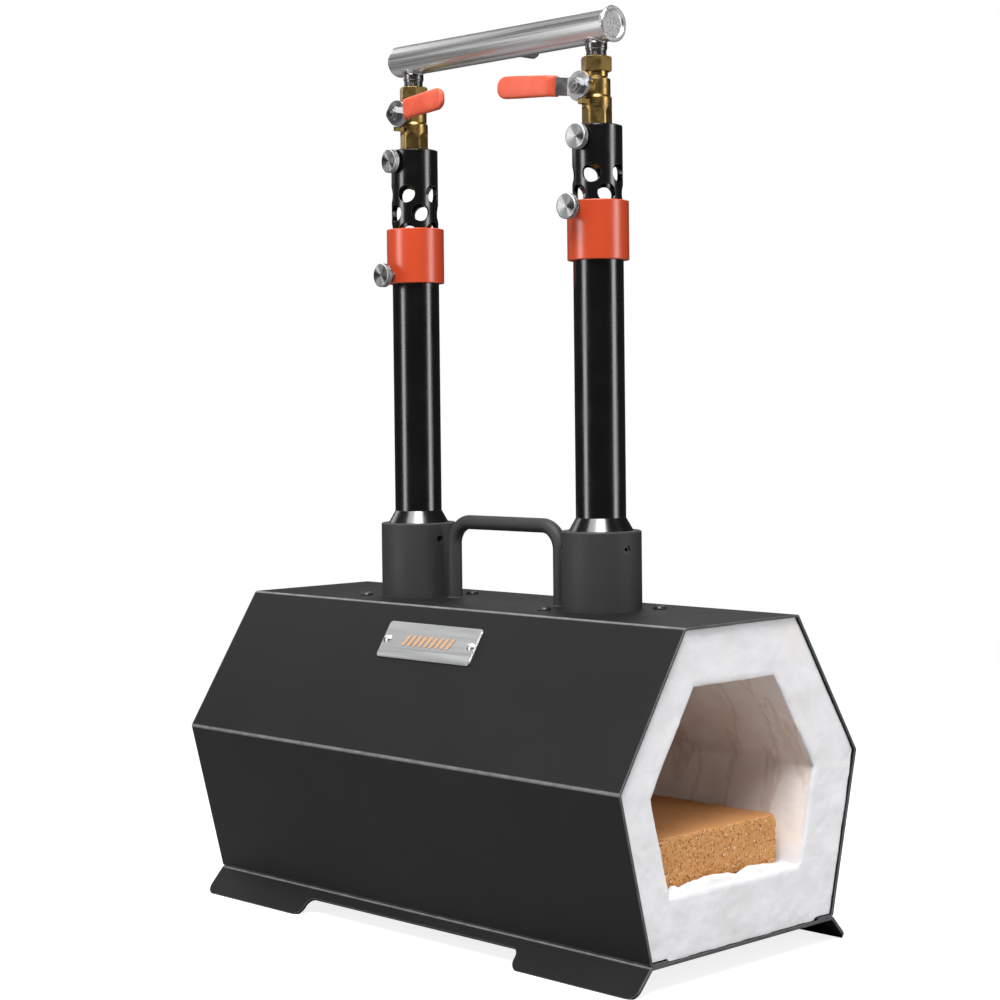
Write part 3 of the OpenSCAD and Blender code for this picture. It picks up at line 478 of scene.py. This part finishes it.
class Paint:
    """One procedural material, built with short calls. Scales are cycles per metre, depths are metres.
    The colour and the roughness it starts with are its averages, and patterns are linked over them."""

    def __init__(self, name, color, roughness, metallic=0.0, specular=0.5):
        self.material = bpy.data.materials.new(name)
        self.material.use_nodes = True
        self.tree = self.material.node_tree
        self.shader = self.tree.nodes["Principled BSDF"]
        self.place = self.tree.nodes.new("ShaderNodeTexCoord").outputs["Object"]
        self.normal = None
        self.set("Base Color", (*color, 1))
        self.set("Roughness", roughness)
        self.set("Metallic", metallic)
        self.set("Specular IOR Level", specular)

    def set(self, socket, value):
        self.give(self.shader.inputs[socket], value)

    def give(self, socket, value):
        if isinstance(value, bpy.types.NodeSocket):
            self.tree.links.new(value, socket)
        elif value is not None:
            socket.default_value = value

    def node(self, kind, output, inputs, **settings):
        made = self.tree.nodes.new("ShaderNode" + kind)
        for name, value in settings.items():
            setattr(made, name, value)
        for key, value in inputs.items():
            self.give(made.inputs[key], value)
        return made.outputs[output]

    def stretched(self, stretch, shift=(0, 0, 0)):
        return self.node("Mapping", "Vector", {"Vector": self.place, "Location": shift, "Scale": stretch})

    def noise(self, scale, detail=3, roughness=0.55, stretch=(1, 1, 1), shift=(0, 0, 0)):
        place = self.stretched(stretch, shift)
        inputs = {"Vector": place, "Scale": scale, "Detail": detail, "Roughness": roughness}
        return self.node("TexNoise", "Fac", inputs)

    def cells(self, scale, output="Distance", shift=(0, 0, 0)):
        return self.node("TexVoronoi", output, {"Vector": self.stretched((1, 1, 1), shift), "Scale": scale})

    def remap(self, value, low, high, to_low=0.0, to_high=1.0, smooth=False):
        return self.node("MapRange", "Result", {
            "Value": value, "From Min": low, "From Max": high, "To Min": to_low, "To Max": to_high},
            interpolation_type="SMOOTHSTEP" if smooth else "LINEAR")

    def math(self, operation, a, b=None):
        inputs = {0: a} if b is None else {0: a, 1: b}
        return self.node("Math", "Value", inputs, operation=operation)

    def mix(self, share, a, b):
        made = self.tree.nodes.new("ShaderNodeMix")
        made.data_type = "RGBA"
        for index, value in ((0, share), (6, a), (7, b)):
            if isinstance(value, tuple) and len(value) == 3:
                value = (*value, 1)
            self.give(made.inputs[index], value)
        return made.outputs[2]

    def axis(self, letter):
        return self.node("SeparateXYZ", letter, {"Vector": self.place})

    def bump(self, height, depth, strength=1.0):
        self.normal = self.node("Bump", "Normal", {
            "Height": height, "Distance": depth, "Strength": strength, "Normal": self.normal})
        self.set("Normal", self.normal)

    def round_edges(self, radius):
        """Edges catch the light as if they were broken to this radius."""
        self.normal = self.node("Bevel", "Normal", {"Radius": radius}, samples=4)
        self.set("Normal", self.normal)

    def sharp_edge_share(self, radius):
        """A share that is 1 on sharp edges and 0 on open faces."""
        rounded = self.node("Bevel", "Normal", {"Radius": radius}, samples=4)
        flat = self.node("NewGeometry", "Normal", {})
        same = self.node("VectorMath", "Value", {0: rounded, 1: flat}, operation="DOT_PRODUCT")
        return self.remap(same, 0.995, 0.8)


def powder_coat():
    """Matt black paint, greyed along the bends and the rims of the sheet: painted highlight lines there, with
    some edge wear.
    """
    dark, dusty, highlight_and_wear_grey = (0.0075, 0.0077, 0.0082), (0.012, 0.0122, 0.0127), (0.17, 0.173, 0.177)
    corners = ((115.5, 123.5), (55.2, 217), (88.65, 17))
    p = Paint("powder_coat", dark, 0.5, specular=0.2)
    p.round_edges(0.5 * MM)
    p.bump(p.noise(900, 2), 0.03 * MM)
    p.bump(p.noise(60, 2), 0.06 * MM)
    p.set("Roughness", p.remap(p.noise(14, 3), 0.3, 0.7, 0.46, 0.56))
    uneven = p.remap(p.noise(150, 4), 0.32, 0.62, 0.65, 1)
    section = p.node("CombineXYZ", "Vector", {"Y": p.math("ABSOLUTE", p.axis("Y")), "Z": p.axis("Z")})
    # Partly painted highlight, partly edge wear: grey on sharp edges, on the bends and along the sheet's rims,
    # where light would catch them.
    bends = p.sharp_edge_share(0.9 * MM)
    for y, z in corners:
        far = p.node("VectorMath", "Value", {0: section, 1: (0, y * MM, z * MM)}, operation="DISTANCE")
        bends = p.math("MAXIMUM", bends, p.remap(far, 1.6 * MM, 0.7 * MM))
    rim = p.remap(p.math("ABSOLUTE", p.axis("X")), 209.6 * MM, 210.2 * MM, 0, 0.5)
    bends = p.math("MAXIMUM", bends, rim)
    dust = p.remap(p.noise(7, 5), 0.45, 0.8, 0, 0.5)
    p.set("Base Color", p.mix(p.math("MULTIPLY", bends, uneven), p.mix(dust, dark, dusty), highlight_and_wear_grey))
    return p.material


def matt_black():
    black = (0.03, 0.0305, 0.0315)
    p = Paint("matt_black", black, 0.6, specular=0.3)
    p.round_edges(0.5 * MM)
    p.bump(p.noise(1100, 2), 0.03 * MM)
    p.set("Roughness", p.remap(p.noise(30, 3), 0.3, 0.7, 0.5, 0.62))
    worn = p.math("MULTIPLY", p.sharp_edge_share(0.6 * MM), p.remap(p.noise(200, 4), 0.4, 0.65, 0, 0.6))
    p.set("Base Color", p.mix(worn, black, (0.12, 0.122, 0.125)))
    return p.material


def satin_black():
    black = (0.0015, 0.0015, 0.0016)
    p = Paint("satin_black", black, 0.2, specular=0.95)
    p.round_edges(0.4 * MM)
    p.bump(p.noise(420, 2), 0.006 * MM)
    p.set("Roughness", p.remap(p.noise(40, 3), 0.3, 0.7, 0.17, 0.24))
    worn = p.math("MULTIPLY", p.sharp_edge_share(0.5 * MM), p.remap(p.noise(220, 4), 0.42, 0.62, 0, 0.5))
    p.set("Base Color", p.mix(worn, black, (0.07, 0.07, 0.072)))
    return p.material


def black_oxide():
    p = Paint("black_oxide", (0.03, 0.03, 0.032), 0.38, metallic=0.4)
    p.round_edges(0.2 * MM)
    p.bump(p.noise(800, 3), 0.01 * MM)
    p.set("Roughness", p.remap(p.noise(300, 3), 0.3, 0.7, 0.3, 0.46))
    return p.material


def ceramic_wool():
    """White fibre at the mouths, and a pinkish-brown tone inside the chamber, with thin lines of painted shade
    for its folds.
    """
    p = Paint("ceramic_wool", (0.8, 0.8, 0.81), 0.95, specular=0.1)
    depth = p.math("SUBTRACT", MOUTH, p.math("ABSOLUTE", p.axis("X")))
    cloud = p.noise(22, 5, 0.6)
    reach = p.math("ADD", depth, p.remap(cloud, 0.3, 0.7, -1.5 * MM, 3 * MM))
    inside = p.remap(reach, 0.2 * MM, 5 * MM, smooth=True)
    blotch = p.remap(p.noise(16, 5, 0.6, shift=(3, 1, 2)), 0.38, 0.68)
    chamber_tone = p.mix(blotch, (0.93, 0.875, 0.84), (0.84, 0.745, 0.685))
    chamber_tone = p.mix(p.remap(p.noise(55, 4, shift=(8, 0, 1)), 0.55, 0.75), chamber_tone, (0.94, 0.91, 0.895))
    # Painted shade: thin darker lines through the chamber's tone stand in for shadows in the folds of the
    # wool.
    folds = p.noise(13, 4, 0.55, stretch=(2.2, 1, 0.7), shift=(1, 6, 2))
    crease_shade = p.math("ABSOLUTE", p.math("SUBTRACT", folds, 0.5))
    chamber_tone = p.mix(p.remap(crease_shade, 0.035, 0.0, 0, 0.6), chamber_tone, (0.68, 0.56, 0.49))
    white = p.mix(p.remap(p.noise(40, 4), 0.4, 0.75), (0.79, 0.79, 0.812), (0.71, 0.705, 0.715))
    low = p.remap(p.axis("Z"), 58 * MM, 70 * MM)
    p.set("Base Color", p.mix(p.math("MULTIPLY", inside, low), white, chamber_tone))
    fibres = p.noise(420, 5, 0.7, stretch=(1, 0.35, 1))
    crossed = p.noise(420, 5, 0.7, stretch=(0.4, 1, 0.5), shift=(5, 5, 5))
    p.bump(p.noise(150, 3), 0.5 * MM, 0.6)
    p.bump(p.math("MAXIMUM", fibres, crossed), 0.35 * MM, 0.6)
    p.set("Sheen Weight", 0.25)
    return p.material


def firebrick():
    """Fired clay with dark and pale specks of grog, and a darker top face of painted shade."""
    p = Paint("firebrick", (0.5, 0.27, 0.11), 0.92, specular=0.15)
    base = p.mix(p.remap(p.noise(60, 4), 0.35, 0.7), (0.60, 0.305, 0.115), (0.50, 0.235, 0.08))
    base = p.mix(p.remap(p.noise(500, 3), 0.5, 0.75), base, (0.66, 0.37, 0.16))

    for scale, size, share, colour, shift in (
            (560, 0.36, 0.42, (0.24, 0.095, 0.036), (0, 0, 0)),
            (380, 0.36, 0.44, (0.34, 0.12, 0.04), (4, 0, 0)),
            (480, 0.36, 0.36, (0.72, 0.50, 0.28), (0, 4, 0)),
            (270, 0.22, 0.30, (0.13, 0.058, 0.03), (0, 0, 4)),
            (260, 0.25, 0.28, (0.80, 0.66, 0.46), (7, 2, 4))):
        speck = p.remap(p.cells(scale, shift=shift), size, size * 0.6)
        chosen = p.math("LESS_THAN", p.cells(scale, "Color", shift=shift), share)
        base = p.mix(p.math("MULTIPLY", speck, chosen), base, colour)
    # Painted shade: faces that point up get a darker clay tone, for the shade that falls on the brick's top.
    top = p.remap(p.node("SeparateXYZ", "Z", {"Vector": p.node("NewGeometry", "Normal", {})}), 0.5, 0.9)
    smooth = p.mix(p.remap(p.noise(35, 4), 0.3, 0.7), (0.46, 0.215, 0.085), (0.54, 0.26, 0.105))
    p.set("Base Color", p.mix(p.math("MULTIPLY", top, 0.85), base, smooth))
    p.bump(p.noise(700, 4), 0.12 * MM)
    p.bump(p.remap(p.cells(420), 0.0, 0.3), 0.15 * MM)
    return p.material


def brushed_aluminium():
    p = Paint("brushed_aluminium", (0.62, 0.625, 0.63), 0.42, metallic=1)
    p.round_edges(0.3 * MM)
    streaks = p.noise(180, 4, stretch=(0.06, 6, 6))
    p.set("Roughness", p.remap(streaks, 0.3, 0.7, 0.36, 0.5))
    p.bump(streaks, 0.006 * MM)
    p.set("Base Color", p.mix(streaks, (0.56, 0.565, 0.57), (0.66, 0.665, 0.67)))
    return p.material


def stainless():
    p = Paint("stainless", (0.5, 0.5, 0.5), 0.3, metallic=1)
    p.round_edges(0.3 * MM)
    streaks = p.noise(240, 4, stretch=(0.03, 4, 4))
    p.set("Roughness", p.remap(streaks, 0.3, 0.7, 0.24, 0.38))
    p.set("Base Color", p.mix(streaks, (0.66, 0.655, 0.655), (0.78, 0.775, 0.775)))
    p.bump(streaks, 0.004 * MM)
    return p.material


def turned_steel():
    p = Paint("turned_steel", (0.3, 0.294, 0.3), 0.3, metallic=1)
    p.round_edges(0.25 * MM)
    p.bump(p.noise(600, 3), 0.01 * MM)
    p.set("Base Color", p.mix(p.noise(300, 3), (0.24, 0.236, 0.24), (0.36, 0.352, 0.36)))
    return p.material


def lathed_steel(name, centre, axis):
    """Turned steel with fine tool marks that run round the axis, as on a lathed face."""
    p = Paint(name, (0.31, 0.31, 0.31), 0.36, metallic=1)
    p.round_edges(0.25 * MM)
    arm = p.node("VectorMath", "Vector", {0: p.place, 1: centre}, operation="SUBTRACT")
    around = p.node("VectorMath", "Vector", {0: arm, 1: axis}, operation="CROSS_PRODUCT")
    p.set("Tangent", p.node("VectorMath", "Vector", {0: around}, operation="NORMALIZE"))
    p.set("Anisotropic", 1.0)
    far = p.node("VectorMath", "Value", {0: around}, operation="LENGTH")
    marks = p.node("TexNoise", "Fac", {"W": far, "Scale": 4200, "Detail": 2}, noise_dimensions="1D")
    p.bump(marks, 0.012 * MM)
    p.set("Base Color", p.mix(marks, (0.22, 0.22, 0.22), (0.40, 0.40, 0.40)))
    return p.material


def pipe_steel():
    p = Paint("pipe_steel", (0.2, 0.196, 0.2), 0.26, metallic=1)
    p.round_edges(0.2 * MM)
    p.bump(p.noise(500, 3), 0.012 * MM)
    p.set("Roughness", p.remap(p.noise(160, 4), 0.3, 0.7, 0.2, 0.36))
    return p.material


def zinc_plate():
    p = Paint("zinc_plate", (0.42, 0.42, 0.43), 0.3, metallic=1)
    p.round_edges(0.3 * MM)
    p.bump(p.noise(500, 3), 0.012 * MM)
    p.set("Roughness", p.remap(p.noise(150, 4), 0.3, 0.7, 0.24, 0.4))
    return p.material


def choke_orange():
    orange = (0.50, 0.052, 0.013)
    p = Paint("choke_orange", orange, 0.3, specular=0.9)
    p.round_edges(0.4 * MM)
    p.bump(p.noise(600, 2), 0.008 * MM)
    p.bump(p.noise(90, 2), 0.02 * MM)
    # Lighter edges: partly edge wear, partly a painted highlight along the ring's edges.
    worn = p.math("MULTIPLY", p.sharp_edge_share(0.5 * MM), p.remap(p.noise(260, 4), 0.45, 0.62, 0, 0.6))
    p.set("Base Color", p.mix(worn, orange, (0.75, 0.30, 0.18)))
    return p.material


def vinyl_orange():
    p = Paint("vinyl_orange", (0.56, 0.075, 0.032), 0.42, specular=0.45)
    p.bump(p.noise(240, 3), 0.04 * MM)
    p.set("Roughness", p.remap(p.noise(120, 3), 0.3, 0.7, 0.36, 0.5))
    p.set("Base Color", p.mix(p.remap(p.noise(90, 3), 0.4, 0.7), (0.56, 0.072, 0.03), (0.62, 0.10, 0.05)))
    p.set("Subsurface Weight", 0.05)
    p.set("Subsurface Radius", (0.002, 0.001, 0.0005))
    return p.material


def brass():
    p = Paint("brass", (0.3, 0.19, 0.065), 0.34, metallic=1)
    p.round_edges(0.35 * MM)
    p.bump(p.noise(700, 4), 0.03 * MM)
    tarnish = p.remap(p.noise(170, 5, 0.65), 0.35, 0.7)
    p.set("Roughness", p.remap(tarnish, 0, 1, 0.26, 0.46))
    shade = p.mix(tarnish, (0.38, 0.25, 0.085), (0.25, 0.165, 0.058))
    p.set("Base Color", p.mix(p.sharp_edge_share(0.5 * MM), shade, (0.60, 0.42, 0.18)))
    return p.material


def ball_chrome():
    p = Paint("ball_chrome", (0.8, 0.8, 0.81), 0.08, metallic=1)
    p.set("Roughness", p.remap(p.noise(600, 3), 0.3, 0.7, 0.06, 0.12))
    return p.material


def ptfe():
    p = Paint("ptfe", (0.85, 0.85, 0.83), 0.5)
    p.bump(p.noise(900, 2), 0.01 * MM)
    return p.material


def enamel():
    p = Paint("enamel", (0.46, 0.27, 0.15), 0.5, specular=0.4)
    p.bump(p.noise(1500, 3), 0.02 * MM)
    return p.material


def paint(made, material):
    made.data.materials.clear()
    made.data.materials.append(material)


def dress_cad_nodes():
    """One material per slot of the record. Returns them, so that the new pieces can share them."""
    makers = {
        "powder_coat": powder_coat, "black_paint": matt_black, "satin_black": satin_black,
        "black_oxide": black_oxide, "ceramic_wool": ceramic_wool, "firebrick": firebrick,
        "plate_aluminium": brushed_aluminium, "stainless": stainless, "turned_steel": turned_steel,
        "zinc_plate": zinc_plate, "choke_orange": choke_orange, "vinyl_orange": vinyl_orange,
        "brass": brass, "ball_chrome": ball_chrome, "ptfe": ptfe,
    }
    made = {slot: make() for slot, make in makers.items()}
    for row in frame["record"]["subparts"]:
        paint(NODES[row["node"]], made[row["material_slot"]])
    return made


def dress_steel_parts():
    """Lathed faces on the thumb screws, round their joints' axes, and bare steel on nipples and stems."""
    for side in SIDES:
        for kind in ("choke_screw", "jet_screw"):
            joint = JOINTS[side + "_" + kind + "_turn"]
            node = NODES[kind + "_" + side]
            paint(node, lathed_steel("turned_" + node.name, tuple(joint["pos_m"]), tuple(joint["axis"])))
    steel = pipe_steel()
    for side in SIDES:
        paint(NODES["manifold_nipple_" + side], steel)
        paint(NODES["valve_stem_" + side], steel)
    paint(NODES["inlet_nipple"], steel)


def build_pieces(shared):
    for made in (wool_wrap(), wool_floor(), wool_lip()):
        paint(made, shared["ceramic_wool"])
    paint(brick(), shared["firebrick"])
    for name in SIDES:
        paint(lever_grip(name), shared["vinyl_orange"])
    paint(plate_motif(), enamel())
    for made, slot in weld_beads():
        paint(made, shared[slot])


# ---- Light, floor and camera --------------------------------------------------------------------------

def direction(azimuth, elevation):
    """From the object towards a place: azimuth 0 is -Y and 90 is +X."""
    a, e = math.radians(azimuth), math.radians(elevation)
    return Vector((math.sin(a) * math.cos(e), -math.cos(a) * math.cos(e), math.sin(e)))


def softbox(name, azimuth, elevation, distance, width, height, power, target):
    """A rectangular lamp that faces the target and isn't seen by the camera."""
    data = bpy.data.lights.new(name, "AREA")
    data.shape = "RECTANGLE"
    data.size, data.size_y = width, height
    data.energy = power
    lamp = bpy.data.objects.new(name, data)
    bpy.context.scene.collection.objects.link(lamp)
    towards = direction(azimuth, elevation)
    lamp.location = target + towards * distance
    lamp.rotation_euler = towards.to_track_quat("Z", "Y").to_euler()
    lamp.visible_camera = False


def studio():
    low, high = cad_box
    for row in (
            ("left_box", -24, 6, 1.7, 0.5, 1.7, 13),
            ("right_box", 114, 8, 1.7, 0.5, 1.7, 13),
            ("front_top_box", 46, 54, 1.9, 0.9, 0.8, 38),
            ("back_box", 215, 40, 2.0, 1.2, 1.2, 8),
            ("back_left_box", 270, 30, 2.0, 1.0, 1.2, 8),
            ("top_box", 10, 68, 1.9, 1.3, 1.3, 40)):
        softbox(*row, (low + high) / 2)


def floor():
    """A pale disc that fades into the white surroundings."""
    bm = bmesh.new()
    bmesh.ops.create_circle(bm, cap_ends=True, segments=96, radius=2.0)
    mesh = bpy.data.meshes.new("floor")
    bm.to_mesh(mesh)
    bm.free()
    made = bpy.data.objects.new("floor", mesh)
    bpy.context.scene.collection.objects.link(made)
    p = Paint("floor", (0.36, 0.36, 0.36), 0.9, specular=0.05)
    p.set("Emission Color", (1, 1, 1, 1))
    p.set("Emission Strength", p.math("MULTIPLY", p.node("LightPath", "Is Camera Ray", {}), 0.84))
    far = p.node("VectorMath", "Value", {0: p.place}, operation="LENGTH")
    p.set("Alpha", p.remap(far, 0.35, 1.5, 1, 0, smooth=True))
    mesh.materials.append(p.material)


def surroundings():
    """White to the camera, and nearly dark to everything that it lights."""
    world = bpy.data.worlds.new("studio")
    bpy.context.scene.world = world
    world.use_nodes = True
    tree = world.node_tree
    back = tree.nodes["Background"]
    seen = tree.nodes.new("ShaderNodeLightPath").outputs["Is Camera Ray"]
    level = tree.nodes.new("ShaderNodeMapRange")
    tree.links.new(seen, level.inputs["Value"])
    level.inputs["To Min"].default_value = 0.05
    level.inputs["To Max"].default_value = 1.0
    tree.links.new(level.outputs["Result"], back.inputs["Strength"])
    back.inputs["Color"].default_value = (1, 1, 1, 1)


def camera():
    place = (1.0665, -1.0432, 0.3533)
    azimuth, elevation, roll = 45.77, 1.20, -0.64
    data = bpy.data.cameras.new("camera")
    data.sensor_width = 36
    data.lens = 77.74
    data.shift_y = -0.05
    made = bpy.data.objects.new("camera", data)
    bpy.context.scene.collection.objects.link(made)
    back = direction(azimuth, elevation)
    right = Vector((0, 0, 1)).cross(back).normalized()
    up = back.cross(right)
    turn = Matrix((right, up, back)).transposed().to_4x4()
    made.matrix_world = Matrix.Translation(place) @ turn @ Matrix.Rotation(math.radians(roll), 4, "Z")
    bpy.context.scene.camera = made


bpy.context.scene.view_settings.view_transform = "Standard"
materials = dress_cad_nodes()
dress_steel_parts()
build_pieces(materials)
studio()
floor()
surroundings()
camera()
